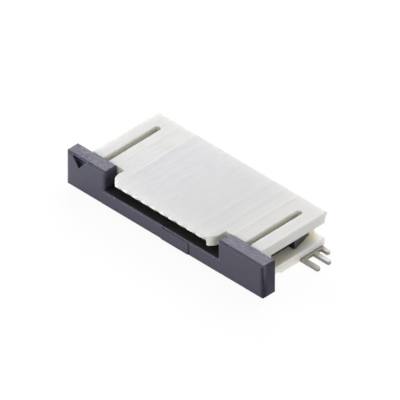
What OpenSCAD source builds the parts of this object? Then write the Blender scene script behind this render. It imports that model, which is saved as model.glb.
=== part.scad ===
// Right-angle flat-cable connector for a circuit board, with a sliding lock.
// Millimetres. +Z is up from the board, X runs along the row of contacts and
// -Y is the side where the cable goes in. The origin is on the board, at the
// middle of the footprint. The slider is drawn pushed home, in its locked place.

/* [Row] */
// Number of contacts in the row
positions = 10; // [4:1:24]
// Distance between neighbouring contacts
pitch = 0.5; // [0.45:0.05:0.7]

/* [Cable] */
// Cable edge to the middle of the outermost conductor
cable_margin = 0.5; // [0.4:0.05:0.7]
// Thickness of the stiffened end of the cable
cable_thickness = 0.3; // [0.25:0.01:0.35]
// Room on each side of the cable in its slot
cable_side_room = 0.05; // [0.03:0.01:0.1]
// Room above the cable in its slot
cable_top_room = 0.04; // [0.02:0.01:0.08]
// Depth of the cable slot behind the front faces of the housing's sides
slot_depth = 2.35; // [2.2:0.05:2.5]

/* [Housing] */
// Depth of the housing's body, without the tongue
body_depth = 3.55; // [3.45:0.05:3.8]
// Reach of the tongue in front of the body
tongue_reach = 0.85; // [0.8:0.05:1.1]
// Thickness of the tongue and of the roof over the slot
tongue_thickness = 0.45; // [0.4:0.01:0.55]
// Middle of the outermost contact to the tongue's side, without the shift
tongue_margin = 0.525; // [0.5:0.005:0.6]
// Shift of the tongue towards the marked end
tongue_shift = 0.09; // [0.0:0.01:0.1]
// Radius of the tongue's front corners, seen from above
tongue_corner = 0.55; // [0.3:0.05:0.7]
// Thickness left at the tongue's front lip
lip_thickness = 0.16; // [0.13:0.01:0.2]
// Middle of the last contact to the plain end of the thin lip
lip_margin = 0.15; // [0.14:0.01:0.3]
// Bevel under the tongue's front corner beyond the thin lip
corner_bevel = 0.1; // [0.05:0.01:0.15]
// Height of the small bevel along the top of the lip
lip_bevel = 0.05; // [0.02:0.01:0.08]
// Thickness of the side flanges of the roof
flange_thickness = 0.48; // [0.4:0.01:0.5]
// Thickness of the floor and of the side rails
floor_thickness = 0.425; // [0.38:0.005:0.5]
// Height of the feet's undersides above the board
foot_standoff = 0.045; // [0.02:0.005:0.08]
// Wall between the cable slot and each side channel
slot_wall = 0.5; // [0.4:0.05:0.6]
// Width of the stop post at the front of each side channel
post_width = 0.505; // [0.4:0.005:0.6]
// Depth of the stop post
post_depth = 0.56; // [0.5:0.01:0.65]
// Width of the slit over each slider arm
slit_width = 0.3; // [0.2:0.01:0.34]
// Roof left between the end of the slit and the rear face
slit_land = 0.57; // [0.45:0.01:0.8]
// Reach of the roof's rear edge past the rear face
rear_brow = 0.12; // [0.0:0.01:0.2]
// Front of the feet behind the front faces of the sides
foot_setback = 1.09; // [0.8:0.01:1.3]
// Height of the hollow under the floor, above the feet's undersides
floor_relief = 0.075; // [0.05:0.005:0.08]
// Height of the raised front end of each rail, above the feet's undersides
rail_lift = 0.1; // [0.05:0.005:0.12]

/* [Slider] */
// Depth of the slider's bar and ears
ear_depth = 0.7; // [0.6:0.01:0.75]
// Reach of the marked ear past the housing's side
marked_overhang = 0.725; // [0.6:0.005:0.9]
// Reach of the plain ear past the housing's side
plain_overhang = 0.935; // [0.6:0.005:0.94]
// Gap between the tongue's side and the ear
ear_gap = 0.33; // [0.2:0.01:0.4]
// Height of the ears above the housing's top
ear_rise = 0.11; // [0.0:0.01:0.3]
// Height of the slider's underside above the board
slider_height = 0.24; // [0.15:0.01:0.35]
// Thickness of the slider's blade where it leaves the bar
blade_thickness = 0.38; // [0.34:0.01:0.45]
// Thickness of the blade's tip
blade_tip = 0.1; // [0.08:0.01:0.15]
// Length of the blade that keeps its full thickness behind the ears
blade_flat = 0.64; // [0.5:0.01:0.8]
// Length of the blade's steep ramp
blade_ramp = 0.85; // [0.7:0.01:0.95]
// Height lost along the steep ramp
ramp_drop = 0.19; // [0.15:0.01:0.2]
// Thickness of each arm
arm_thickness = 0.425; // [0.35:0.005:0.45]
// Room inside each arm, so that it can flex in past the post
arm_flex_room = 0.32; // [0.31:0.01:0.4]
// Reach of the barb past the outer face of the arm
barb_reach = 0.305; // [0.2:0.005:0.305]
// Length of the barb, from its stop face to the tip of the arm
barb_length = 1.09; // [0.9:0.01:1.1]
// Share of that length over which the barb keeps more than half its reach
barb_share = 0.6; // [0.5:0.05:0.7]
// Distance that the slider travels from locked to open
travel = 1.5; // [1.2:0.01:1.5]
// Bevel along the front top edges of the ears
ear_bevel = 0.11; // [0.05:0.01:0.15]
// Bevel along the inner top edges of the ears and the marked ear's outer one
side_bevel = 0.05; // [0.02:0.01:0.1]
// Bevel along the plain ear's outer top edge
plain_bevel = 0.1; // [0.05:0.01:0.15]
// Bevel along the outer and rear bottom edges of the ears
heel_bevel = 0.08; // [0.03:0.01:0.12]
// Radius of the slider's outer front corners
ear_corner = 0.24; // [0.1:0.01:0.3]
// Radius of the ears' other upright corners
inner_corner = 0.12; // [0.05:0.01:0.15]
// Width of the arrow that marks the first contact
mark_width = 0.7; // [0.4:0.05:0.8]
// Height of the arrow
mark_height = 0.45; // [0.3:0.05:0.6]
// Depth of the arrow
mark_depth = 0.18; // [0.1:0.01:0.3]
// Distance from the slider's end to the arrow
mark_margin = 0.4; // [0.3:0.05:0.6]
// Place of the raised pad's end where the bar was filled in the mould
gate_x = -0.06; // [-0.5:0.02:0.1]
// Width of the raised pad
gate_width = 1.48; // [1.0:0.02:1.6]
// Height of the raised pad
gate_relief = 0.03; // [0.02:0.01:0.05]

/* [Contacts] */
// Thickness of the contact strip, along the row
contact_thickness = 0.2; // [0.15:0.01:0.22]
// Room on each side of a contact in its groove
groove_room = 0.03; // [0.02:0.005:0.04]
// Housing left above the grooves
groove_roof = 0.1; // [0.08:0.01:0.12]
// Housing left below the grooves
groove_floor = 0.1; // [0.08:0.01:0.12]
// Depth of the upper spring at its root
spring_root = 0.2; // [0.16:0.01:0.22]
// Depth of the upper spring at its tip
spring_tip = 0.12; // [0.1:0.01:0.14]
// Distance from the tongue's front to the contact point
point_depth = 0.86; // [0.8:0.01:1.0]
// How far the contact point reaches into the cable's space
nip = 0.11; // [0.05:0.01:0.13]
// Radius of the contact point
point_radius = 0.07; // [0.05:0.01:0.08]
// Depth of the contact's base
base_depth = 0.45; // [0.35:0.01:0.5]
// Distance from the rear face in to the base
base_recess = 0.4; // [0.3:0.01:0.45]
// Depth of the lower beam
lower_beam = 0.18; // [0.14:0.01:0.2]
// Length of the lower beam in front of the base
lower_reach = 2.3; // [2.0:0.05:2.4]
// Reach of the solder tail past the rear face
tail_reach = 0.8; // [0.6:0.05:1.0]
// Thickness of the solder tail
tail_thickness = 0.15; // [0.12:0.01:0.18]

/* [Fitting nails] */
// Thickness of the nail's sheet
nail_thickness = 0.15; // [0.12:0.01:0.16]
// Reach of the two solder prongs past the housing's side
prong_reach = 0.94; // [0.9:0.01:1.1]
// Width of a prong
prong_width = 0.2; // [0.16:0.01:0.24]
// Distance between the two prongs
prong_pitch = 0.6; // [0.5:0.01:0.65]
// Reach of the short rear stub past the housing's side
stub_reach = 0.47; // [0.3:0.01:0.6]
// Reach of the nail's plate past the housing's side
web_reach = 0.1; // [0.0:0.01:0.15]
// Width of the upright leg that is pressed into the rail
leg_width = 0.7; // [0.5:0.01:0.8]
// Length of the window for the nail under each rail
window_length = 1.25; // [1.2:0.01:1.3]
// Rear foot behind the window
rear_foot = 0.12; // [0.08:0.01:0.16]

/* [Fits] */
// Sliding clearance between the slider and the housing
slide_room = 0.04; // [0.02:0.005:0.06]
// Clearance between each arm and the stop post beside it
arm_room = 0.055; // [0.03:0.005:0.08]
// Gap that is left in front of the housing when the slider is home
home_gap = 0.09; // [0.05:0.01:0.12]
// Gap that is left at the stops when the slider is open
stop_gap = 0.05; // [0.02:0.01:0.08]
// Clearance round the nail in its pocket
nail_room = 0.01; // [0.005:0.005:0.02]

/* [Hidden] */
$fn = 48;

// Extra length of a cutting solid past the face it opens.
over = 0.05;
body_colour = "#e4e3dc";
slider_colour = "#5b5b65";
tin_colour = "#c9c9c4";

// Heights above the board
foot_z = foot_standoff;
relief_z = foot_z + floor_relief;
groove_bottom_z = relief_z + groove_floor;
rail_top_z = foot_z + floor_thickness;
blade_bottom_z = rail_top_z + slide_room;
bar_top_z = blade_bottom_z + blade_thickness;
ceiling_z = bar_top_z + cable_thickness + cable_top_room;
top_z = ceiling_z + tongue_thickness;
lip_z = top_z - lip_thickness;
groove_top_z = top_z - groove_roof;
flange_z = top_z - flange_thickness;
ear_top_z = top_z + ear_rise;
pocket_z = nail_thickness + nail_room;

// Half widths, from the middle of the row
row_length = (positions - 1) * pitch;
cable_half = row_length / 2 + cable_margin;
slot_half = cable_half + cable_side_room;
lip_end = row_length / 2 + lip_margin;
marked_tongue = row_length / 2 + tongue_margin + tongue_shift;
plain_tongue = row_length / 2 + tongue_margin - tongue_shift;
marked_inner = marked_tongue + ear_gap;
plain_inner = plain_tongue + ear_gap;
channel_inner = slot_half + slot_wall;
arm_inner = channel_inner + arm_flex_room;
arm_outer = arm_inner + arm_thickness;
barb_outer = arm_outer + barb_reach;
post_inner = arm_outer + arm_room;
housing_half = post_inner + post_width;
marked_outer = housing_half + marked_overhang;
plain_outer = housing_half + plain_overhang;
leg_inner = channel_inner + nail_thickness;
slit_middle = (arm_inner + arm_outer) / 2 + slide_room;

// Places along the cable's way in, front to rear
front_y = -(tongue_reach + body_depth + tail_reach) / 2;
side_y = front_y + tongue_reach;
rear_y = side_y + body_depth;
tail_y = rear_y + tail_reach;
ear_rear_y = side_y - home_gap;
slider_y = ear_rear_y - ear_depth;
slot_end_y = side_y + slot_depth;
blade_end_y = slot_end_y - home_gap;
post_rear_y = side_y + post_depth;
barb_y = post_rear_y + travel + stop_gap;
arm_end_y = barb_y + barb_length;
web_y = arm_end_y + stop_gap;
slit_end_y = rear_y - slit_land;
foot_y = side_y + foot_setback;
window_rear_y = rear_y - rear_foot;
window_y = window_rear_y - window_length;
point_y = front_y + point_depth;
base_rear_y = rear_y - base_recess;
base_y = base_rear_y - base_depth;
lower_front_y = base_y - lower_reach;
leg_y = (window_y + window_rear_y - leg_width) / 2;
prong_y = window_y + nail_room + prong_width / 2;

function contact_name(i) = str("contact_", i < 10 ? "0" : "", i);

// Middle of contact i across the row; contact 1 is at the arrow's end.
function contact_x(i) = (i - 1) * pitch - row_length / 2;

// ---- helpers ----------------------------------------------------------

// Lays an outline drawn as [y, z] across the part, from x0 to x1.
module across(x0, x1) {
    translate([x0, 0, 0])
        rotate([90, 0, 90])
            linear_extrude(height = x1 - x0)
                children();
}

// Lays an outline drawn as [x, z] along the part, from y0 to y1.
module along(y0, y1) {
    translate([0, y1, 0])
        rotate([90, 0, 0])
            linear_extrude(height = y1 - y0)
                children();
}

// Raises an outline drawn as [x, y] from z0 to z1.
module upright(z0, z1) {
    translate([0, 0, z0])
        linear_extrude(height = z1 - z0)
            children();
}

// The sliver outside a round corner: at [x, y], which is the corner's tip,
// with the material towards side_x and side_y.
module corner_waste(x, y, side_x, side_y, radius) {
    translate([x, y])
        scale([side_x, side_y])
            difference() {
                translate([-over, -over])
                    square(radius + over);
                translate([radius, radius])
                    circle(radius);
            }
}

// A plain box between two corners.
module block(low, high) {
    translate(low)
        cube(high - low);
}

// The same thing on both ends of the part.
module both_ends() {
    children();
    mirror([1, 0, 0])
        children();
}

// ---- housing ----------------------------------------------------------

// Side view of the body, with the brow along the rear edge of the roof.
module body_outline() {
    polygon([
        [side_y, foot_z],
        [rear_y, foot_z],
        [rear_y, flange_z + rear_brow],
        [rear_y + rear_brow, top_z - lip_bevel],
        [rear_y + rear_brow - lip_bevel, top_z],
        [side_y, top_z]
    ]);
}

// Side view of the tongue, as it is at its plain corner.
module tongue_outline() {
    polygon([
        [side_y + over, ceiling_z],
        [front_y + corner_bevel, ceiling_z],
        [front_y, ceiling_z + corner_bevel],
        [front_y, top_z - lip_bevel],
        [front_y + lip_bevel, top_z],
        [side_y + over, top_z]
    ]);
}

// Plan of the tongue, with its round front corners.
module tongue_plan() {
    difference() {
        translate([-marked_tongue, front_y])
            square([marked_tongue + plain_tongue, tongue_reach + over]);
        corner_waste(-marked_tongue, front_y, 1, 1, tongue_corner);
        corner_waste(plain_tongue, front_y, -1, 1, tongue_corner);
    }
}

// Side view of the slanted way in for the cable, which leaves the thin lip.
module lead_in_outline() {
    rise = lip_z - ceiling_z;
    polygon([
        [front_y - over, ceiling_z - over],
        [front_y + rise + over, ceiling_z - over],
        [front_y, lip_z],
        [front_y - over, lip_z]
    ]);
}

// Plan of one side channel: open at the side and the rear, narrowed in front
// by the stop post and closed behind the arm's tip by a web.
module channel_plan() {
    polygon([
        [channel_inner, side_y - over],
        [post_inner, side_y - over],
        [post_inner, post_rear_y],
        [housing_half + over, post_rear_y],
        [housing_half + over, rear_y + over],
        [arm_outer, rear_y + over],
        [arm_outer, web_y],
        [channel_inner, web_y]
    ]);
}

// Slit in the roof over one arm, open at the front and round at the rear.
module slit_plan() {
    slit_radius = slit_width / 2;
    translate([slit_middle - slit_radius, side_y - over])
        square([slit_width, slit_end_y - slit_radius - side_y + over]);
    translate([slit_middle, slit_end_y - slit_radius])
        circle(slit_radius);
}

// Side view of the room for one contact: a groove in the floor, a groove in
// the roof that runs out through the lip, and a full-height cut at the rear.
module cavity_outline() {
    polygon([
        [front_y - over, bar_top_z],
        [lower_front_y - over, bar_top_z],
        [lower_front_y - over, groove_bottom_z],
        [rear_y + over, groove_bottom_z],
        [rear_y + over, groove_top_z],
        [front_y - over, groove_top_z]
    ]);
}

module contact_cavities() {
    half = contact_thickness / 2 + groove_room;
    for (i = [1:positions])
        across(contact_x(i) - half, contact_x(i) + half)
            cavity_outline();
}

// Room for one nail: the window under the rail and the slot for its leg.
module nail_pocket() {
    block([channel_inner, window_y, 0], [housing_half + over, window_rear_y, pocket_z]);
    block(
        [leg_inner - nail_room, leg_y - nail_room, 0],
        [leg_inner + nail_thickness + nail_room, leg_y + leg_width + nail_room, rail_top_z + over]
    );
}

module housing() {
    color(body_colour)
        difference() {
            union() {
                across(-housing_half, housing_half)
                    body_outline();
                intersection() {
                    across(-marked_tongue, plain_tongue)
                        tongue_outline();
                    upright(ceiling_z - over, top_z + over)
                        tongue_plan();
                }
            }
            block([-slot_half, side_y - over, rail_top_z], [slot_half, slot_end_y, ceiling_z]);
            contact_cavities();
            across(-marked_tongue - over, lip_end)
                lead_in_outline();
            both_ends() {
                upright(rail_top_z, flange_z)
                    channel_plan();
                upright(flange_z - over, top_z + over)
                    slit_plan();
                nail_pocket();
            }
            block([-channel_inner, side_y - over, 0], [channel_inner, rear_y + over, relief_z]);
            block([-housing_half - over, side_y - over, 0], [housing_half + over, foot_y, foot_z + rail_lift]);
        }
}

// ---- slider -----------------------------------------------------------

// Side view of the bar, with its front edges eased.
module bar_outline() {
    ease = gate_relief;
    polygon([
        [slider_y + ease, slider_height],
        [ear_rear_y, slider_height],
        [ear_rear_y, bar_top_z],
        [slider_y + 2 * ease, bar_top_z],
        [slider_y, bar_top_z - 2 * ease],
        [slider_y, slider_height + ease]
    ]);
}

// Side view of an ear: a bevel at the top front and the bottom rear, and
// small eases on its other edges.
module ear_outline() {
    ease = ear_bevel / 3;
    polygon([
        [slider_y + ease, slider_height],
        [ear_rear_y - heel_bevel, slider_height],
        [ear_rear_y, slider_height + heel_bevel],
        [ear_rear_y, ear_top_z - ease],
        [ear_rear_y - ease, ear_top_z],
        [slider_y + ear_bevel, ear_top_z],
        [slider_y, ear_top_z - ear_bevel],
        [slider_y, slider_height + ease]
    ]);
}

// Front view of an ear between its inner and outer sides.
module ear_face(inner, outer, bevel) {
    polygon([
        [inner, slider_height],
        [outer - heel_bevel, slider_height],
        [outer, slider_height + heel_bevel],
        [outer, ear_top_z - bevel],
        [outer - bevel, ear_top_z],
        [inner + side_bevel, ear_top_z],
        [inner, ear_top_z - side_bevel]
    ]);
}

// Plan of an ear, with its upright corners rounded.
module ear_plan(inner, outer) {
    difference() {
        translate([inner, slider_y])
            square([outer - inner, ear_depth]);
        corner_waste(outer, slider_y, -1, 1, ear_corner);
        corner_waste(outer, ear_rear_y, -1, -1, inner_corner);
        corner_waste(inner, slider_y, 1, 1, inner_corner);
    }
}

// One ear, with the bevel given for its outer top edge.
module ear(inner, outer, bevel) {
    intersection() {
        across(inner, outer)
            ear_outline();
        along(slider_y, ear_rear_y)
            ear_face(inner, outer, bevel);
        upright(slider_height, ear_top_z)
            ear_plan(inner, outer);
    }
}

// Side view of the blade that lies under the cable: it lifts the cable to
// the contacts when it is home, and its thin end lies there when it is open.
module blade_outline() {
    polygon([
        [ear_rear_y - over, blade_bottom_z],
        [blade_end_y, blade_bottom_z],
        [blade_end_y, blade_bottom_z + blade_tip],
        [ear_rear_y + blade_flat + blade_ramp, bar_top_z - ramp_drop],
        [ear_rear_y + blade_flat, bar_top_z],
        [ear_rear_y - over, bar_top_z]
    ]);
}

// Plan of one arm with its barb. The barb's back swells out and falls away
// to the tip, so that the arm is pushed in past the post when it is fitted.
module arm_plan() {
    tip_ease = arm_thickness / 3;
    polygon([
        [arm_inner, ear_rear_y - over],
        [arm_outer, ear_rear_y - over],
        [arm_outer, barb_y],
        [barb_outer, barb_y],
        [arm_outer + barb_reach / 2, barb_y + barb_share * barb_length],
        [arm_outer, arm_end_y],
        [arm_inner + tip_ease, arm_end_y],
        [arm_inner, arm_end_y - tip_ease]
    ]);
}

// Arrow pressed into the marked ear's front, with its point down.
module pin_mark() {
    left = -marked_outer + mark_margin;
    top = ear_top_z - ear_bevel / 2;
    along(slider_y - over, slider_y + mark_depth)
        polygon([
            [left, top],
            [left + mark_width, top],
            [left + mark_width / 2, top - mark_height]
        ]);
}

module slider() {
    color(slider_colour)
        difference() {
            union() {
                across(-marked_inner - inner_corner, plain_inner + inner_corner)
                    bar_outline();
                ear(plain_inner, plain_outer, plain_bevel);
                mirror([1, 0, 0])
                    ear(marked_inner, marked_outer, side_bevel);
                both_ends()
                    upright(blade_bottom_z, flange_z - slide_room)
                        arm_plan();
                across(-slot_half + slide_room, slot_half - slide_room)
                    blade_outline();
                block(
                    [gate_x, slider_y - gate_relief, slider_height + gate_relief],
                    [gate_x + gate_width, slider_y + over, bar_top_z - 2 * gate_relief]
                );
            }
            pin_mark();
        }
}

// ---- contacts ---------------------------------------------------------

// Side view of one contact: a fork stamped from strip, with a sprung upper
// arm, a stiff lower arm, a base pressed into the housing and a solder tail.
module contact_outline() {
    point_z = bar_top_z + cable_thickness - nip;
    spring_top_z = groove_top_z - nip;
    tip_y = point_y - 4 * point_radius;
    lower_top_z = groove_bottom_z + lower_beam;
    heel_y = rear_y + groove_room;
    union() {
        polygon([
            [tip_y, spring_top_z - spring_tip / 2],
            [point_y - point_radius, point_z + point_radius],
            [point_y + point_radius, point_z + point_radius],
            [point_y + 3 * point_radius, spring_top_z - spring_tip],
            [base_y, spring_top_z - spring_root],
            [base_y, lower_top_z],
            [lower_front_y, lower_top_z - spring_tip / 2],
            [lower_front_y, groove_bottom_z],
            [heel_y, groove_bottom_z],
            [heel_y, 0],
            [tail_y, 0],
            [tail_y, tail_thickness],
            [heel_y + 2 * tail_thickness, tail_thickness],
            [heel_y + tail_thickness, 2 * tail_thickness],
            [heel_y + tail_thickness, lower_top_z - tail_thickness / 2],
            [heel_y + tail_thickness / 2, lower_top_z],
            [base_rear_y, lower_top_z],
            [base_rear_y, groove_top_z],
            [base_y, groove_top_z],
            [base_y, spring_top_z],
            [tip_y + point_radius, spring_top_z]
        ]);
        translate([point_y, point_z + point_radius])
            circle(point_radius);
    }
}

module contact(i) {
    color(tin_colour)
        across(contact_x(i) - contact_thickness / 2, contact_x(i) + contact_thickness / 2)
            contact_outline();
}

// ---- fitting nails ----------------------------------------------------

// One solder prong with a round end, seen from above.
module prong_plan(y, reach) {
    tip_x = housing_half + reach - prong_width / 2;
    translate([leg_inner, y - prong_width / 2])
        square([tip_x - leg_inner, prong_width]);
    translate([tip_x, y])
        circle(prong_width / 2);
}

// The right nail: a plate at board level with two prongs and a stub, and a
// leg that is folded up into the rail.
module nail() {
    stub_y = window_rear_y - nail_room - prong_width / 2;
    color(tin_colour)
        union() {
            upright(0, nail_thickness) {
                translate([leg_inner, window_y + nail_room])
                    square([housing_half + web_reach - leg_inner, window_length - 2 * nail_room]);
                prong_plan(prong_y, prong_reach);
                prong_plan(prong_y + prong_pitch, prong_reach);
                prong_plan(stub_y, stub_reach);
            }
            block([leg_inner, leg_y, 0], [leg_inner + nail_thickness, leg_y + leg_width, rail_top_z - nail_room]);
        }
}

module fitting_nail_right() {
    nail();
}

module fitting_nail_left() {
    mirror([1, 0, 0])
        nail();
}

housing();
slider();
for (i = [1:positions]) contact(i);
fitting_nail_left();
fitting_nail_right();
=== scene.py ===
# %% [markdown]
# # A flat-cable connector with a sliding lock
# The part is about 11 mm long and stands 1.8 mm over a circuit board. It has a moulded
# housing, a dark slider that locks the cable, ten stamped contacts and two solder nails.
# The solids come packed, in metres and in their own places. This script gives them eased
# edges, low ridges on the roof, finishes, light and a camera.

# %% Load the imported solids
import math

import bmesh
import bpy
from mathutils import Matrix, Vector


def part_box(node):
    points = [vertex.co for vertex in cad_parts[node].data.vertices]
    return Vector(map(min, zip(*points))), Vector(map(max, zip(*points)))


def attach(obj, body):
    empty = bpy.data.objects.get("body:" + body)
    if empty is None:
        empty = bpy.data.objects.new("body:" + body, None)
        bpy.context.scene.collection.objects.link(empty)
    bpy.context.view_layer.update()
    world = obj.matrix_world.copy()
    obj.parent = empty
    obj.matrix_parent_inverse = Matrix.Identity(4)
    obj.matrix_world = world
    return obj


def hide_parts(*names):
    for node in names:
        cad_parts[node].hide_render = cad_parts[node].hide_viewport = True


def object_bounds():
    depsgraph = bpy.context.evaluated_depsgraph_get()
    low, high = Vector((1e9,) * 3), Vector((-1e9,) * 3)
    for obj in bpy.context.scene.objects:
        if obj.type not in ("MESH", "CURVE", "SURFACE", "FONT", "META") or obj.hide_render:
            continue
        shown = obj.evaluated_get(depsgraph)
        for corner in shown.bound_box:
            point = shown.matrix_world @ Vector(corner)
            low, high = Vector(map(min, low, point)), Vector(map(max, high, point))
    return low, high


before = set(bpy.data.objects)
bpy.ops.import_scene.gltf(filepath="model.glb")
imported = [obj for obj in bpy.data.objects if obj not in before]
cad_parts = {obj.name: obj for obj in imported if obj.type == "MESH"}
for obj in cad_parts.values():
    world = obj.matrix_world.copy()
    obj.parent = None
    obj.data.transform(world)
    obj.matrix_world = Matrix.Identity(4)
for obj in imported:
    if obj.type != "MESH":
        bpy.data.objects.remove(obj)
cad_low, cad_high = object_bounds()
MM = 0.001

# %% [markdown]
# ## Camera
# Product views of such small parts are taken from far off through a long lens, so
# parallel edges stay parallel. An orthographic camera does the same. It looks down on
# the side where the cable goes in, from beyond the plain end of the slider.

# %% Camera
VIEW_AZIMUTH = math.radians(44.7)
VIEW_ELEVATION = math.radians(37.0)
VIEW_WIDTH = 15.56 * MM
VIEW_DISTANCE = 60 * MM
# The view is centred a little in front of the part's middle and towards the marked end.
VIEW_SHIFT = Vector((-0.16, -0.30, 0.0)) * MM


def towards(azimuth, elevation):
    """The direction from the part to a place around it; azimuth 0 is in front of the slot."""
    flat = math.cos(elevation)
    return Vector((math.sin(azimuth) * flat, -math.cos(azimuth) * flat, math.sin(elevation)))


def place_looking(thing, target, direction, distance):
    """Puts a camera or lamp at a distance from a target and turns it to face it."""
    thing.location = target + direction * distance
    thing.rotation_mode = "QUATERNION"
    thing.rotation_quaternion = (-direction).to_track_quat("-Z", "Y")


middle = (cad_low + cad_high) / 2
camera_data = bpy.data.cameras.new("camera")
camera_data.type = "ORTHO"
camera_data.ortho_scale = VIEW_WIDTH
camera_data.clip_start = MM
camera_data.clip_end = 1000 * MM
camera = bpy.data.objects.new("camera", camera_data)
bpy.context.scene.collection.objects.link(camera)
place_looking(camera, middle + VIEW_SHIFT, towards(VIEW_AZIMUTH, VIEW_ELEVATION), VIEW_DISTANCE)
bpy.context.scene.camera = camera
bpy.context.scene.view_settings.view_transform = "Standard"
print("camera sees", round(VIEW_WIDTH / MM, 2), "mm across")

# %% [markdown]
# ## A helper for node trees
# Every material below is a small tree of nodes. One function adds a node, sets its
# values and links its inputs, so that each recipe reads from top to bottom. Some nodes
# have several inputs with one name: those are given by number.

# %% Node and colour helpers


def add(tree, kind, values=None, links=None, **properties):
    """Adds a node with its properties, input values and incoming links."""
    node = tree.nodes.new(kind)
    for name, value in properties.items():
        setattr(node, name, value)
    for socket, value in (values or {}).items():
        node.inputs[socket].default_value = value
    for socket, source in (links or {}).items():
        tree.links.new(source, node.inputs[socket])
    return node


def linear(code):
    """Turns an sRGB colour such as #e4e3dc into the linear values that shaders use."""
    channels = [int(code[i:i + 2], 16) / 255 for i in (1, 3, 5)]
    return [c / 12.92 if c <= 0.04045 else ((c + 0.055) / 1.055) ** 2.4 for c in channels] + [1.0]


def per_feature(size_mm):
    """The scale of a texture whose features are about so many millimetres across."""
    return 1 / (size_mm * MM)


def start_material(name):
    """An empty material with its output, and the object coordinates to draw patterns on."""
    material = bpy.data.materials.new(name)
    material.use_nodes = True
    tree = material.node_tree
    tree.nodes.clear()
    output = add(tree, "ShaderNodeOutputMaterial")
    coordinates = add(tree, "ShaderNodeTexCoord")
    return material, tree, output, coordinates.outputs["Object"]


print("mid grey #808080 is", round(linear("#808080")[0], 3), "in linear light")

# %% [markdown]
# ## Painted shade on the table
# The part stands on a light table. Past the slider's plain end a grey shade is painted
# into the table, and that end mirrors it and stays dim. In front of the corner the painted
# shade is nearly black, which draws the dark line down the rounded corner. It does the work
# of a dark card, which could be a thin sheet of its own. Here it is only a tone in the
# table's material, placed by object coordinates, so it has no edge that could throw a shadow.

# %% Tone of the table
TABLE_WHITE = "#f4f4f4"
# The painted shade is grey past one place along X, and nearly black where it also lies in
# front of another one along Y. Both edges are soft.
GREY_SHADE = "#a4a4a4"
GREY_SHADE_FROM_MM = 5.2
GREY_SHADE_EDGE_MM = 1.0
BLACK_SHADE = "#303030"
BLACK_SHADE_FROM_MM = -2.1
BLACK_SHADE_EDGE_MM = 0.5


def table_tone_with_painted_shade(tree, place):
    """White, with painted shade that is grey past the slider's end and nearly black in front."""
    axes = add(tree, "ShaderNodeSeparateXYZ", links={0: place})
    # Painted shade: grey on the table past the slider's plain end, which that end mirrors.
    past_end = add(
        tree, "ShaderNodeMapRange",
        {"From Min": GREY_SHADE_FROM_MM * MM, "From Max": (GREY_SHADE_FROM_MM + GREY_SHADE_EDGE_MM) * MM},
        {"Value": axes.outputs["X"]},
    )
    tone = add(
        tree, "ShaderNodeMix", {6: linear(TABLE_WHITE), 7: linear(GREY_SHADE)},
        {0: past_end.outputs[0]}, data_type="RGBA",
    )
    # Painted shade: nearly black in front of the corner, mirrored as a dark line down the rounded
    # corner.
    in_front = add(
        tree, "ShaderNodeMapRange",
        {"From Min": BLACK_SHADE_FROM_MM * MM, "From Max": (BLACK_SHADE_FROM_MM - BLACK_SHADE_EDGE_MM) * MM},
        {"Value": axes.outputs["Y"]},
    )
    black_shade_share = add(
        tree, "ShaderNodeMath", links={0: in_front.outputs[0], 1: past_end.outputs[0]},
        operation="MULTIPLY",
    )
    shade_painted = add(
        tree, "ShaderNodeMix", {7: linear(BLACK_SHADE)},
        {0: black_shade_share.outputs[0], 6: tone.outputs[2]}, data_type="RGBA",
    )
    return shade_painted.outputs[2]


print("painted shade from", GREY_SHADE_FROM_MM, "mm to the side, black from", -BLACK_SHADE_FROM_MM, "mm in front")

# %% [markdown]
# ## Light table
# The table glows a little by itself, under broad soft lamps. The camera sees it nearly
# pure white, with a small share of its real shading, so a faint shadow stays under the
# part. A Light Path node tells the camera's rays from all others. Those meet the table's
# own tone with its painted shade: the table throws soft light up at the sides, and the
# slider's upright faces mirror it.

# %% Table top
FLOOR_SIZE = 600 * MM
# What the camera sees: a share of the table's shading over a plain white.
SHADOW_SHARE = 0.10
GROUND_GLOW = 1.03
# How strongly the table glows for all other rays.
TABLE_GLOW = 0.38


def table_material():
    """A matt white table top that reads as a white ground."""
    material, tree, output, place = start_material("white_table_laminate")
    matt = add(tree, "ShaderNodeBsdfDiffuse", {"Color": linear(TABLE_WHITE)})
    # The table's tone with its painted shade, for all rays but the camera's.
    tone = table_tone_with_painted_shade(tree, place)
    dimmed = add(tree, "ShaderNodeBsdfDiffuse", links={"Color": tone})
    glow = add(tree, "ShaderNodeEmission", {"Strength": TABLE_GLOW}, {"Color": tone})
    lit = add(tree, "ShaderNodeAddShader", links={0: dimmed.outputs[0], 1: glow.outputs[0]})
    white = add(
        tree, "ShaderNodeEmission", {"Color": linear("#ffffff"), "Strength": GROUND_GLOW}
    )
    shown = add(
        tree, "ShaderNodeMixShader", {"Fac": SHADOW_SHARE},
        {1: white.outputs[0], 2: matt.outputs[0]},
    )
    path = add(tree, "ShaderNodeLightPath")
    chosen = add(
        tree, "ShaderNodeMixShader",
        links={"Fac": path.outputs["Is Camera Ray"], 1: lit.outputs[0], 2: shown.outputs[0]},
    )
    tree.links.new(chosen.outputs[0], output.inputs["Surface"])
    return material


floor_mesh = bpy.data.meshes.new("table_top")
half = FLOOR_SIZE / 2
floor_mesh.from_pydata(
    [(-half, -half, 0), (half, -half, 0), (half, half, 0), (-half, half, 0)], [], [(0, 1, 2, 3)]
)
floor_mesh.materials.append(table_material())
floor = bpy.data.objects.new("table_top", floor_mesh)
bpy.context.scene.collection.objects.link(floor)
print("table top", FLOOR_SIZE / MM, "mm wide")

# %% [markdown]
# ## Room
# The room behind the lamps gives a little even light, in the lamps' own colour. The
# camera sees it pure white, like the table, so no line shows where the table ends.

# %% World
LAMP_COLOUR = "#f2f2ff"
ROOM_LIGHT = 0.22

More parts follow.
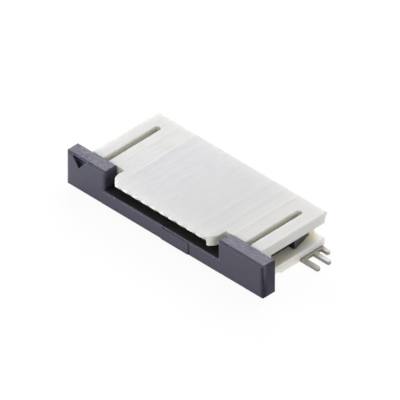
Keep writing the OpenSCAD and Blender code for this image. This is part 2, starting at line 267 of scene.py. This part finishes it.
world = bpy.data.worlds.new("white_room")
bpy.context.scene.world = world
world.use_nodes = True
world.node_tree.nodes.clear()
room = add(
    world.node_tree, "ShaderNodeBackground",
    {"Color": linear(LAMP_COLOUR), "Strength": ROOM_LIGHT},
)
wall = add(
    world.node_tree, "ShaderNodeBackground", {"Color": linear("#ffffff"), "Strength": 1.0}
)
path = add(world.node_tree, "ShaderNodeLightPath")
surround = add(
    world.node_tree, "ShaderNodeMixShader",
    links={"Fac": path.outputs["Is Camera Ray"], 1: room.outputs[0], 2: wall.outputs[0]},
)
add(world.node_tree, "ShaderNodeOutputWorld", links={"Surface": surround.outputs[0]})
print("room light", ROOM_LIGHT)

# %% [markdown]
# ## Lamps
# Two softboxes stand behind the part. They light the roof, and the top of the dark
# slider takes its sheen from the lower one. Three more stand low in front and at the
# right. They fill the upright faces but hardly reach into the slot, which stays dark. The
# lamps are a little cool, so that the warm resin looks neutral where it is open and
# creamy in its recesses.

# %% Lamps
# Each lamp: azimuth and elevation in degrees, side of its square and distance in
# millimetres, and its power in watts.
LAMPS = {
    "rear_left_box": (225, 27, 40, 90, 0.037),
    "rear_box": (180, 45, 70, 90, 0.043),
    "low_front_left_box": (-50, 12, 36, 90, 0.051),
    "front_box": (20, 20, 50, 90, 0.016),
    "low_right_box": (80, 14, 42, 90, 0.029),
}

for name, (azimuth, elevation, side, distance, power) in LAMPS.items():
    lamp_data = bpy.data.lights.new(name, "AREA")
    lamp_data.shape = "SQUARE"
    lamp_data.size = side * MM
    lamp_data.energy = power
    lamp_data.color = linear(LAMP_COLOUR)[:3]
    lamp = bpy.data.objects.new(name, lamp_data)
    bpy.context.scene.collection.objects.link(lamp)
    way = towards(math.radians(azimuth), math.radians(elevation))
    place_looking(lamp, middle, way, distance * MM)
print("lamps:", ", ".join(LAMPS))

# %% [markdown]
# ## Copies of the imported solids
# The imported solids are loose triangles: each copy is merged first and its flat faces are
# joined again. The work is done in millimetres, because such small numbers would be lost
# in Blender's own tolerances, and the result goes back to metres. A finished copy takes
# the place of its solids and moves with their body.

# %% Helpers that copy a solid and seat the copy
FLAT = math.radians(1)
SAME_POINT_MM = 0.0005


def clean_copy(name, node, material, work=None):
    """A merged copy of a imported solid, in its place; work shapes it further, in millimetres."""
    shell = bmesh.new()
    shell.from_mesh(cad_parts[node].data)
    bmesh.ops.scale(shell, vec=(1 / MM,) * 3, verts=shell.verts)
    bmesh.ops.remove_doubles(shell, verts=shell.verts, dist=SAME_POINT_MM)
    bmesh.ops.dissolve_limit(shell, angle_limit=FLAT, verts=shell.verts, edges=shell.edges)
    if work:
        work(shell)
    bmesh.ops.scale(shell, vec=(MM,) * 3, verts=shell.verts)
    mesh = bpy.data.meshes.new(name)
    shell.to_mesh(mesh)
    shell.free()
    mesh.materials.clear()
    mesh.materials.append(material)
    piece = bpy.data.objects.new(name, mesh)
    bpy.context.scene.collection.objects.link(piece)
    print(name, "has", len(mesh.polygons), "faces")
    return piece


def seat(piece, body, slot, *nodes):
    """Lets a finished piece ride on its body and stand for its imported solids."""
    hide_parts(*nodes)
    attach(piece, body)


print("points within", SAME_POINT_MM, "mm of each other are merged")

# %% [markdown]
# ## Glass-filled liquid-crystal polymer
# The housing is moulded in off-white liquid-crystal polymer, which flows into walls a
# tenth of a millimetre thick. The resin sets in faint streaks along its flow, from front
# to rear. They could be painted, but noise drawn out along the flow gives streaks that
# never repeat. Over one side of the comb the roof lies a little greyer in the light. That
# shade is painted: a greyer tone fades in around one place.

# %% Open tone of the housing
LCP_PALE = "#e9e8db"
LCP_STREAK = "#dfdecf"
LCP_PAINTED_SHADE = "#e0dfd0"
# Width of the flow streaks, how they are drawn out, and the noise that they cover.
STREAK_MM = 0.12
STREAK_SHAPE = (1.0, 0.15, 0.5)
STREAK_NOISE = (0.35, 0.75)
# Middle of the painted shade on the roof, and how far it reaches.
ROOF_SHADE_MIDDLE_MM = (2.4, -0.5, 1.7)
ROOF_SHADE_REACH_MM = 5.0


def lcp_open_tone(tree, place):
    """The resin's tone where it lies open, with flow streaks and painted shade on the roof."""
    along_flow = add(tree, "ShaderNodeMapping", {"Scale": STREAK_SHAPE}, {"Vector": place})
    streaks = add(
        tree, "ShaderNodeTexNoise", {"Scale": per_feature(STREAK_MM), "Detail": 3.0},
        {"Vector": along_flow.outputs[0]},
    )
    streaked = add(
        tree, "ShaderNodeMapRange", {"From Min": STREAK_NOISE[0], "From Max": STREAK_NOISE[1]},
        {"Value": streaks.outputs[0]},
    )
    skin_tone = add(
        tree, "ShaderNodeMix", {6: linear(LCP_PALE), 7: linear(LCP_STREAK)},
        {0: streaked.outputs[0]}, data_type="RGBA",
    )
    # Painted shade: the roof turns a little greyer around one place on its right.
    off_middle = add(
        tree, "ShaderNodeVectorMath", {1: Vector(ROOF_SHADE_MIDDLE_MM) * MM}, {0: place},
        operation="DISTANCE",
    )
    roof_shade_share = add(
        tree, "ShaderNodeMapRange",
        {"From Min": 0.0, "From Max": ROOF_SHADE_REACH_MM * MM, "To Min": 1.0, "To Max": 0.0},
        {"Value": off_middle.outputs["Value"]}, interpolation_type="SMOOTHSTEP",
    )
    roof_shaded = add(
        tree, "ShaderNodeMix", {7: linear(LCP_PAINTED_SHADE)},
        {0: roof_shade_share.outputs[0], 6: skin_tone.outputs[2]}, data_type="RGBA",
    )
    return roof_shaded.outputs[2]


print("resin streaks", STREAK_MM, "mm wide")

# %% [markdown]
# ## Creamy recesses
# Light goes some way into the resin and bounces about in its recesses, which makes them
# creamier than the open faces. A render catches only part of that. So an ambient
# occlusion node tells how enclosed a place is, and the recesses get a creamier colour,
# most of all down in the side channels. The slider and the tin use the same helper.

# %% Recess tone of the housing
# Rays that an ambient occlusion or Bevel node sends out for each sample of the render.
SHADING_SAMPLES = 8
LCP_RECESS = "#ebe8d8"
LCP_DEEP = "#e8dfb0"
# Reach of the recesses, how open they are from deep to none, and the heights between
# which their tone goes from deep to pale.
RECESS_MM = 1.0
RECESS_OPENNESS = (0.2, 0.8)
DEEP_HEIGHTS_MM = (0.6, 1.4)


def enclosure(tree, reach_mm, openness, own_walls_only=False):
    """How enclosed a place is: 0 in the open and 1 in a recess."""
    around = add(
        tree, "ShaderNodeAmbientOcclusion", {"Distance": reach_mm * MM},
        samples=SHADING_SAMPLES, only_local=own_walls_only,
    )
    share = add(
        tree, "ShaderNodeMapRange",
        {"From Min": openness[0], "From Max": openness[1], "To Min": 1.0, "To Max": 0.0},
        {"Value": around.outputs["AO"]},
    )
    return share.outputs[0]


def lcp_tone(tree, place):
    """The open tone of the resin, turned creamier in its recesses."""
    open_tone = lcp_open_tone(tree, place)
    recessed = enclosure(tree, RECESS_MM, RECESS_OPENNESS, own_walls_only=True)
    axes = add(tree, "ShaderNodeSeparateXYZ", links={0: place})
    low_down = add(
        tree, "ShaderNodeMapRange",
        {"From Min": DEEP_HEIGHTS_MM[0] * MM, "From Max": DEEP_HEIGHTS_MM[1] * MM,
         "To Min": 1.0, "To Max": 0.0},
        {"Value": axes.outputs["Z"]},
    )
    recess_tone = add(
        tree, "ShaderNodeMix", {6: linear(LCP_RECESS), 7: linear(LCP_DEEP)},
        {0: low_down.outputs[0]}, data_type="RGBA",
    )
    resin = add(
        tree, "ShaderNodeMix", links={0: recessed, 6: open_tone, 7: recess_tone.outputs[2]},
        data_type="RGBA",
    )
    return resin.outputs[2]


print("recesses felt", RECESS_MM, "mm away")

# %% [markdown]
# ## Matt skin of the housing
# Short glass fibres leave a fine matt skin: a low bump that also changes how dull the
# resin is. Their grain is drawn coarser than it is, so that it can be seen at all. Some
# light spreads inside the resin, which softens the shading at its edges. A Bevel node
# rounds the last sharp edges, in the shading only.

# %% Finish of the housing
LCP_IOR = 1.55
LCP_DULLNESS = (0.48, 0.62)
LCP_EASE_MM = 0.03
# The fibre grain, drawn coarser than it is so that it shows, and its height.
GRAIN_MM = 0.06
GRAIN_HEIGHT_MM = 0.003
GRAIN_STRENGTH = 0.25
# How light spreads in the resin: its share, its reach by colour and its depth.
SCATTER_SHARE = 0.8
SCATTER_REACH = (1.0, 1.0, 0.93)
SCATTER_MM = 0.3


def lcp_material():
    """Off-white matt moulding with flow streaks, fibre grain and creamy recesses."""
    material, tree, output, place = start_material("glass_filled_liquid_crystal_polymer")
    grain = add(
        tree, "ShaderNodeTexNoise", {"Scale": per_feature(GRAIN_MM), "Detail": 2.0},
        {"Vector": place},
    )
    eased = add(
        tree, "ShaderNodeBevel", {"Radius": LCP_EASE_MM * MM}, samples=SHADING_SAMPLES
    )
    skin = add(
        tree, "ShaderNodeBump", {"Strength": GRAIN_STRENGTH, "Distance": GRAIN_HEIGHT_MM * MM},
        {"Height": grain.outputs[0], "Normal": eased.outputs[0]},
    )
    dullness = add(
        tree, "ShaderNodeMapRange", {"To Min": LCP_DULLNESS[0], "To Max": LCP_DULLNESS[1]},
        {"Value": grain.outputs[0]},
    )
    shader = add(
        tree, "ShaderNodeBsdfPrincipled",
        {"IOR": LCP_IOR, "Subsurface Weight": SCATTER_SHARE,
         "Subsurface Radius": SCATTER_REACH, "Subsurface Scale": SCATTER_MM * MM},
        {"Base Color": lcp_tone(tree, place), "Roughness": dullness.outputs[0],
         "Normal": skin.outputs[0]},
    )
    tree.links.new(shader.outputs[0], output.inputs["Surface"])
    return material


print("fibre grain drawn at", GRAIN_MM, "mm")

# %% [markdown]
# ## Housing
# One moulding carries everything: the roof with its two long slits, the tongue that
# covers the contact points, the comb of cavities and the two side channels. Its form is
# whole in the solid but for one thing: very low ridges run along the roof, such as a
# mould leaves where its steel inserts meet. The roof's flat face is cut along each ridge,
# and the new points are raised in a soft wave, so the ridges end where the roof ends.

# %% Housing
# The ridges: place across the part, half width and height, in millimetres.
INSERT_RIDGES = (
    (-3.30, 0.10, 0.005), (-2.45, 0.13, 0.009), (1.74, 0.20, 0.005),
    (2.42, 0.22, 0.012), (3.09, 0.14, 0.012),
)
# Cuts on each side of a crest, and how near a point has to be to count as on a cut.
RIDGE_CUTS = 3
ON_CUT_MM = SAME_POINT_MM / 10


def raise_ridges(shell):
    """Cuts the flat roof lengthways and raises its points in low, smooth waves."""
    top = max(point.co.z for point in shell.verts) - SAME_POINT_MM
    for crest, half_width, height in INSERT_RIDGES:
        for step in range(-RIDGE_CUTS, RIDGE_CUTS + 1):
            roof = [face for face in shell.faces if min(point.co.z for point in face.verts) > top]
            # A dictionary drops what comes twice and keeps the order, so each run is the same.
            edges = dict.fromkeys(edge for face in roof for edge in face.edges)
            points = dict.fromkeys(point for face in roof for point in face.verts)
            cut_place = Vector((crest + half_width * step / RIDGE_CUTS, 0, 0))
            bmesh.ops.bisect_plane(
                shell, geom=roof + list(edges) + list(points), dist=ON_CUT_MM,
                plane_co=cut_place, plane_no=(1, 0, 0),
            )
    for point in shell.verts:
        if point.co.z > top:
            for crest, half_width, height in INSERT_RIDGES:
                nearness = max(0, 1 - abs(point.co.x - crest) / half_width)
                point.co.z += height * nearness * nearness * (3 - 2 * nearness)


housing = clean_copy("housing_moulding", "housing", lcp_material(), raise_ridges)
seat(housing, "base", "housing", "housing")

# %% [markdown]
# ## Darkness in the cable slot
# Deep in the slot, under the tongue, next to no light gets to the slider's bar, and it is
# nearly black. Its colour and its sheen are taken down there to help that along. A patch
# painted on the slider would move out with it. The enclosure helper finds the place
# instead, so the bar clears again when the slider is pulled.

# %% Darkness in the slot
# Reach of the slot's darkness, how open it is from dark to none, and the height under
# which it counts.
SLOT_DEPTH_MM = 1.2
SLOT_OPENNESS = (0.35, 0.65)
BELOW_EARS_MM = 1.0


def slot_darkness(tree, place):
    """How dark a place is: 1 where it is low and enclosed, as in the slot, 0 in the open."""
    enclosed = enclosure(tree, SLOT_DEPTH_MM, SLOT_OPENNESS)
    axes = add(tree, "ShaderNodeSeparateXYZ", links={0: place})
    low_down = add(
        tree, "ShaderNodeMath", {1: BELOW_EARS_MM * MM}, {0: axes.outputs["Z"]},
        operation="LESS_THAN",
    )
    dark = add(
        tree, "ShaderNodeMath", links={0: enclosed, 1: low_down.outputs[0]},
        operation="MULTIPLY",
    )
    return dark.outputs[0]


print("slot dark to a depth of", SLOT_DEPTH_MM, "mm")

# %% [markdown]
# ## Glass-filled polyphenylene sulphide
# The slider is a dark blue-grey moulding in polyphenylene sulphide, a stiff resin with
# a rather high refractive index, so it takes a soft sheen from the lamp behind it. Its
# skin is finely spark-eroded, with a grain that is again drawn a little coarser, and
# soft clouds in it are a little paler and duller.

# %% Finish of the slider
PPS_BODY = "#272536"
PPS_SCUFF = "#302e3f"
PPS_RECESS = "#201f1a"
PPS_IOR = 1.65
PPS_EASE_MM = 0.035
# Size of the clouds, the noise that they cover, and the dullness that goes with them.
CLOUD_MM = 0.35
CLOUD_NOISE = (0.35, 0.75)
DULLNESS_NOISE = (0.3, 0.7)
PPS_DULLNESS = (0.38, 0.50)
# The eroded grain, drawn coarser than it is so that it shows, and its height.
ERODED_MM = 0.08
ERODED_HEIGHT_MM = 0.014
# The sheen outside the slot and deep inside it.
SLOT_SHEEN = (0.5, 0.15)


def pps_material():
    """Dark satin moulding with a fine eroded grain and slight clouding."""
    material, tree, output, place = start_material("glass_filled_polyphenylene_sulphide")
    clouds = add(
        tree, "ShaderNodeTexNoise", {"Scale": per_feature(CLOUD_MM), "Detail": 4.0},
        {"Vector": place},
    )
    grain = add(
        tree, "ShaderNodeTexNoise",
        {"Scale": per_feature(ERODED_MM), "Detail": 2.0, "Roughness": 0.6}, {"Vector": place},
    )
    clouded = add(
        tree, "ShaderNodeMapRange", {"From Min": CLOUD_NOISE[0], "From Max": CLOUD_NOISE[1]},
        {"Value": clouds.outputs[0]},
    )
    body = add(
        tree, "ShaderNodeMix", {6: linear(PPS_BODY), 7: linear(PPS_SCUFF)},
        {0: clouded.outputs[0]}, data_type="RGBA",
    )
    darkness = slot_darkness(tree, place)
    resin = add(
        tree, "ShaderNodeMix", {7: linear(PPS_RECESS)},
        {0: darkness, 6: body.outputs[2]}, data_type="RGBA",
    )
    sheen = add(
        tree, "ShaderNodeMapRange", {"To Min": SLOT_SHEEN[0], "To Max": SLOT_SHEEN[1]},
        {"Value": darkness},
    )
    eased = add(
        tree, "ShaderNodeBevel", {"Radius": PPS_EASE_MM * MM}, samples=SHADING_SAMPLES
    )
    bump = add(
        tree, "ShaderNodeBump", {"Strength": 1.0, "Distance": ERODED_HEIGHT_MM * MM},
        {"Height": grain.outputs[0], "Normal": eased.outputs[0]},
    )
    dullness = add(
        tree, "ShaderNodeMapRange",
        {"From Min": DULLNESS_NOISE[0], "From Max": DULLNESS_NOISE[1],
         "To Min": PPS_DULLNESS[0], "To Max": PPS_DULLNESS[1]},
        {"Value": clouds.outputs[0]},
    )
    shader = add(
        tree, "ShaderNodeBsdfPrincipled", {"IOR": PPS_IOR},
        {"Base Color": resin.outputs[2], "Roughness": dullness.outputs[0],
         "Specular IOR Level": sheen.outputs[0], "Normal": bump.outputs[0]},
    )
    tree.links.new(shader.outputs[0], output.inputs["Surface"])
    return material


print("eroded grain drawn at", ERODED_MM, "mm")

# %% [markdown]
# ## Slider
# The slider is the second moulding, and the only piece that moves: it is pulled out to
# free the cable. Its bar, ears, arms and blade are one piece.

# %% Slider
slider = clean_copy("slider_moulding", "slider", pps_material())
seat(slider, "lock", "slider", "slider")

# %% [markdown]
# ## Matt tin plating
# Contacts and nails are stamped from copper alloy strip and plated with matt tin, a pale,
# slightly warm metal with duller patches. The plating of each contact differs a little in
# tone, which the shader reads from the mesh. Close to the housing the tin mirrors mostly
# the creamy resin, so it looks warmer. The enclosure helper finds those places again, and
# a warmer colour there helps that along.

# %% Tone of the tin
TIN_PALE = "#bcbbb5"
TIN_DULL = "#9c9b96"
TIN_SHADED = "#a89f7e"
# Size of the dull patches, and the noise that they cover.
PATCH_MM = 0.25
PATCH_NOISE = (0.4, 0.9)
# Reach of the warm places, and how open they are from warm to none.
TIN_SHADED_MM = 0.3
TIN_OPENNESS = (0.45, 0.85)


def tin_tone(tree, place):
    """Pale tin with duller patches, warmer where it is enclosed."""
    patches = add(
        tree, "ShaderNodeTexNoise", {"Scale": per_feature(PATCH_MM), "Detail": 3.0},
        {"Vector": place},
    )
    tone = add(tree, "ShaderNodeAttribute", attribute_name="plating_tone")
    dulled = add(
        tree, "ShaderNodeMath", links={0: patches.outputs[0], 1: tone.outputs["Fac"]},
        operation="ADD",
    )
    dull_share = add(
        tree, "ShaderNodeMapRange", {"From Min": PATCH_NOISE[0], "From Max": PATCH_NOISE[1]},
        {"Value": dulled.outputs[0]},
    )
    colour = add(
        tree, "ShaderNodeMix", {6: linear(TIN_PALE), 7: linear(TIN_DULL)},
        {0: dull_share.outputs[0]}, data_type="RGBA",
    )
    shaded = enclosure(tree, TIN_SHADED_MM, TIN_OPENNESS)
    plating = add(
        tree, "ShaderNodeMix", {7: linear(TIN_SHADED)}, {0: shaded, 6: colour.outputs[2]},
        data_type="RGBA",
    )
    return plating.outputs[2]


print("dull patches", PATCH_MM, "mm across")

# %% [markdown]
# ## Rolling lines
# Strip is rolled, which leaves fine lines that blur what the tin reflects. They could be
# an anisotropic gloss. Here they are noise that is drawn out along the strip, so that
# the dullness changes from line to line. Contacts and nails lie differently, so each has
# a scale of its own.

# %% Finish of the metal pieces
TIN_DULLNESS = (0.50, 0.66)
# Width and height of the rolling lines, and how strongly they show.
LINE_MM = 0.03
LINE_HEIGHT_MM = 0.002
LINE_STRENGTH = 0.2


def tin_material(name, lines_scale):
    """Satin tin over strip, with rolling lines drawn out where their scale is small."""
    material, tree, output, place = start_material(name)
    drawn_out = add(tree, "ShaderNodeMapping", {"Scale": lines_scale}, {"Vector": place})
    lines = add(
        tree, "ShaderNodeTexNoise", {"Scale": per_feature(LINE_MM), "Detail": 2.0},
        {"Vector": drawn_out.outputs[0]},
    )
    dullness = add(
        tree, "ShaderNodeMapRange", {"To Min": TIN_DULLNESS[0], "To Max": TIN_DULLNESS[1]},
        {"Value": lines.outputs[0]},
    )
    bump = add(
        tree, "ShaderNodeBump", {"Strength": LINE_STRENGTH, "Distance": LINE_HEIGHT_MM * MM},
        {"Height": lines.outputs[0]},
    )
    shader = add(
        tree, "ShaderNodeBsdfPrincipled", {"Metallic": 1.0},
        {"Base Color": tin_tone(tree, place), "Roughness": dullness.outputs[0],
         "Normal": bump.outputs[0]},
    )
    tree.links.new(shader.outputs[0], output.inputs["Surface"])
    return material


print("rolling lines", LINE_MM, "mm wide")

# %% [markdown]
# ## Eased edges
# A mould or a punch never leaves a perfectly sharp edge, and the soft line along an
# edge is what tells the eye how big a small part is. The two mouldings have their large
# chamfers in the solids, and faces down to hundredths of a millimetre between them, too
# narrow for a bevel. Their finishes round the last bit in the shading instead. The
# stamped pieces are simpler, so their copies get a real bevel.

# %% Punched edges
SHARP = math.radians(25)
PUNCHED_MM = 0.015
# Strips across each punched edge; two make it look round.
PUNCHED_STEPS = 2


def punch_edges(shell):
    """Eases all sharp edges of a stamped piece."""
    sharp = [edge for edge in shell.edges if edge.calc_face_angle(0) > SHARP]
    bmesh.ops.bevel(
        shell, geom=sharp, offset=PUNCHED_MM, offset_type="OFFSET", segments=PUNCHED_STEPS,
        profile=0.5, affect="EDGES", clamp_overlap=True, miter_outer="ARC",
    )
    # The bevel can leave edges of next to no length. Once they are gone, some points only
    # join two edges, and go too, because triangles cut there would lie on each other.
    bmesh.ops.dissolve_degenerate(shell, dist=SAME_POINT_MM, edges=shell.edges)
    idle = [point for point in shell.verts if len(point.link_edges) == 2]
    bmesh.ops.dissolve_verts(shell, verts=idle)


print("punched edges eased by", PUNCHED_MM, "mm")

# %% [markdown]
# ## Tree for the row of contacts
# Ten equal forks are punched from strip and pressed into the housing from the rear. A
# row of equal things suits Geometry Nodes: the tree takes one finished fork, sets a
# line of points at the contact spacing, and puts a copy on each. Each copy also gets a
# random tone for its plating, from a seed that is given to the tree.

# %% Tree for the row of contacts
TONE_SPREAD = (-0.08, 0.12)


def contact_row_tree():
    """Repeats the incoming fork along X, one for each contact."""
    tree = bpy.data.node_groups.new("contact_row", "GeometryNodeTree")
    tree.is_modifier = True
    sockets = (
        ("Fork", "INPUT", "NodeSocketGeometry"), ("Contacts", "INPUT", "NodeSocketInt"),
        ("Pitch", "INPUT", "NodeSocketFloat"), ("Tone Seed", "INPUT", "NodeSocketInt"),
        ("Plating", "INPUT", "NodeSocketMaterial"), ("Row", "OUTPUT", "NodeSocketGeometry"),
    )
    for name, direction, kind in sockets:
        tree.interface.new_socket(name, in_out=direction, socket_type=kind)
    given = add(tree, "NodeGroupInput").outputs
    step = add(tree, "ShaderNodeCombineXYZ", links={"X": given["Pitch"]})
    places = add(
        tree, "GeometryNodeMeshLine", links={"Count": given["Contacts"], "Offset": step.outputs[0]}
    )
    forks = add(
        tree, "GeometryNodeInstanceOnPoints",
        links={"Points": places.outputs[0], "Instance": given["Fork"]},
    )
    tone = add(
        tree, "FunctionNodeRandomValue", {2: TONE_SPREAD[0], 3: TONE_SPREAD[1]},
        {"Seed": given["Tone Seed"]}, data_type="FLOAT",
    )
    toned = add(
        tree, "GeometryNodeStoreNamedAttribute", {"Name": "plating_tone"},
        {"Geometry": forks.outputs[0], "Value": tone.outputs[1]},
        data_type="FLOAT", domain="INSTANCE",
    )
    real = add(tree, "GeometryNodeRealizeInstances", links={"Geometry": toned.outputs[0]})
    plated = add(
        tree, "GeometryNodeSetMaterial",
        links={"Geometry": real.outputs[0], "Material": given["Plating"]},
    )
    add(tree, "NodeGroupOutput", links={"Row": plated.outputs[0]})
    return tree


print("plating tone from", TONE_SPREAD[0], "to", TONE_SPREAD[1])

# %% [markdown]
# ## Running a tree
# A tree runs as a modifier on a piece. Its inputs are set by the identifiers of their
# sockets, because a modifier doesn't know them by name. The export reads plain meshes,
# so the result becomes the piece's own mesh, and the modifier goes.

# %% Helper that runs a tree


def run_tree(piece, tree, **values):
    """Runs a tree on a piece and keeps the result as the piece's own plain mesh."""
    modifier = piece.modifiers.new(tree.name, "NODES")
    modifier.node_group = tree
    for item in tree.interface.items_tree:
        given_name = item.name.replace(" ", "_")
        if item.in_out == "INPUT" and given_name in values:
            modifier[item.identifier] = values[given_name]
    made = piece.evaluated_get(bpy.context.evaluated_depsgraph_get())
    mesh = bpy.data.meshes.new_from_object(made)
    piece.modifiers.clear()
    piece.data = mesh


print("a tree's result is kept as a plain mesh")

# %% [markdown]
# ## Contacts
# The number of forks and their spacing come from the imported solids, so the row always
# fits them. The first solid gives the fork, and a fixed seed gives the same tones on
# each run.

# %% Row of contacts
contact_names = sorted(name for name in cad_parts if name.startswith("contact_"))
first_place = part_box(contact_names[0])[0].x
last_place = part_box(contact_names[-1])[0].x
PITCH = (last_place - first_place) / (len(contact_names) - 1)
TONE_SEED = 7

strip_tin = tin_material("matt_tin_on_phosphor_bronze", (1.0, 0.1, 0.1))
contacts = clean_copy("contact_row", contact_names[0], strip_tin, punch_edges)
run_tree(
    contacts, contact_row_tree(), Contacts=len(contact_names), Pitch=PITCH,
    Tone_Seed=TONE_SEED, Plating=strip_tin,
)
seat(contacts, "base", "contacts", *contact_names)
print(len(contact_names), "contacts,", round(PITCH / MM, 3), "mm apart")
print("the row has", len(contacts.data.polygons), "faces")

# %% [markdown]
# ## Solder nails
# A folded sheet at each end holds the part to its board: its prongs are soldered, and
# its leg is pressed into the rail. Both are copies of their solids with punched edges.

# %% Nails
nail_tin = tin_material("matt_tin_on_brass", (0.1, 1.0, 1.0))
for side in ("left", "right"):
    nail = clean_copy("solder_nail_" + side, "fitting_nail_" + side, nail_tin, punch_edges)
    seat(nail, "base", "nails", "fitting_nail_" + side)
